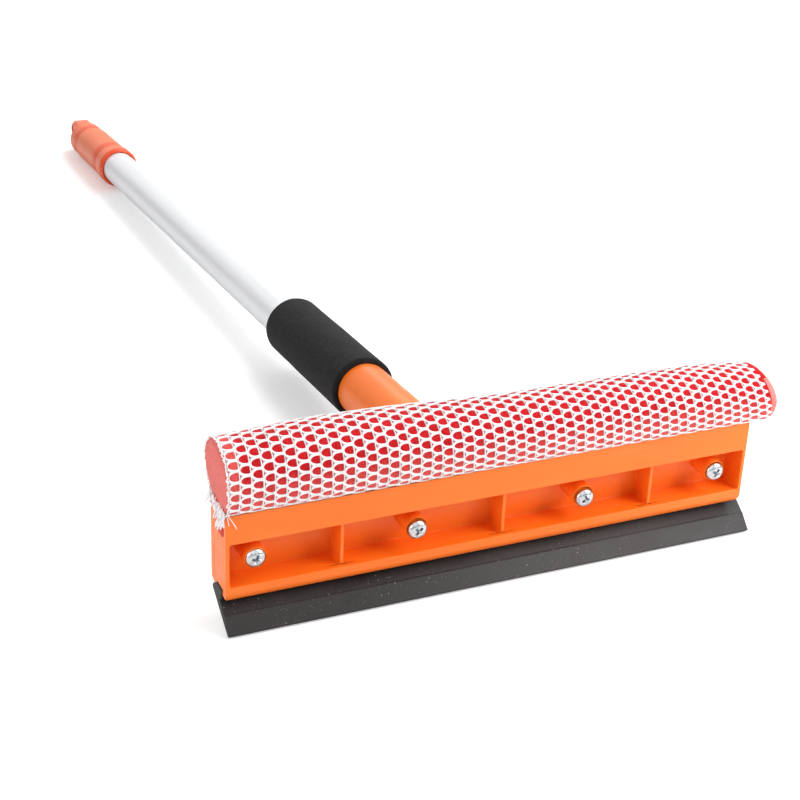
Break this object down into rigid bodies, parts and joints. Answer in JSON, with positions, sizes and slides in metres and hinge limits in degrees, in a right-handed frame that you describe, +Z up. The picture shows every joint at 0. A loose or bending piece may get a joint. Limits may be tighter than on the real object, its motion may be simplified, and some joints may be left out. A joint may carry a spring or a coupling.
{
  "type": "telescopic squeegee with sponge roll",
  "caption": "Long-handled squeegee whose clamped head holds a net-covered sponge roll above a slanted rubber blade, on a twist-lock telescopic tube with a foam sleeve and a hanging grip.",
  "frame": {"origin": "middle of the rubber blade's working edge, where it stands on the floor", "axes": "+X along the head, +Y from the head towards the hanging end of the handle, +Z up from the floor the tool rests on"},
  "size_m": [0.2609, 0.78, 0.0858],
  "materials": {
    "shell": "satin moulded",
    "screw": "bright zinc",
    "blade": "matt, dusty",
    "sponge": "open-cell foam",
    "net": "knitted mesh",
    "tube": "satin white",
    "foam": "closed-cell foam",
    "bush": "moulded",
    "lock": "moulded",
    "inner_tube": "satin"
  },
  "bodies": {
    "head_and_tube": {"clamp_plate": "shell", "back_plate": "shell", "clamp_screws": "screw", "rubber_blade": "blade", "sponge": "sponge", "sponge_net": "net", "outer_tube": "tube", "neck_screw": "screw", "foam_grip": "foam", "mouth_bush": "bush"},
    "lock": {"lock_sleeve": "lock"},
    "cone": {"lock_cone": "lock"},
    "inner": {"inner_tube": "inner_tube", "lock_plug": "bush", "end_grip": "shell", "grip_screw": "screw"}
  },
  "joints": [
    {"name": "handle_slide", "type": "slide", "parent": "head_and_tube", "child": "lock", "axis": [0, 0.9996, -0.0267], "range_m": [0, 0.4]},
    {"name": "grip_twist", "type": "hinge", "parent": "lock", "child": "inner", "pos_m": [-0.0015, 0.40115, 0.02255], "axis": [0, 0.9996, -0.0267], "range_deg": [0, 300]},
    {"name": "cone_travel", "type": "slide", "parent": "lock", "child": "cone", "axis": [0, -0.9996, 0.0267], "range_m": [0, 0.0025]}
  ],
  "couplings": [
    {"joint": "cone_travel", "follows": "grip_twist", "m_per_rad": 0.000477}
  ]
}
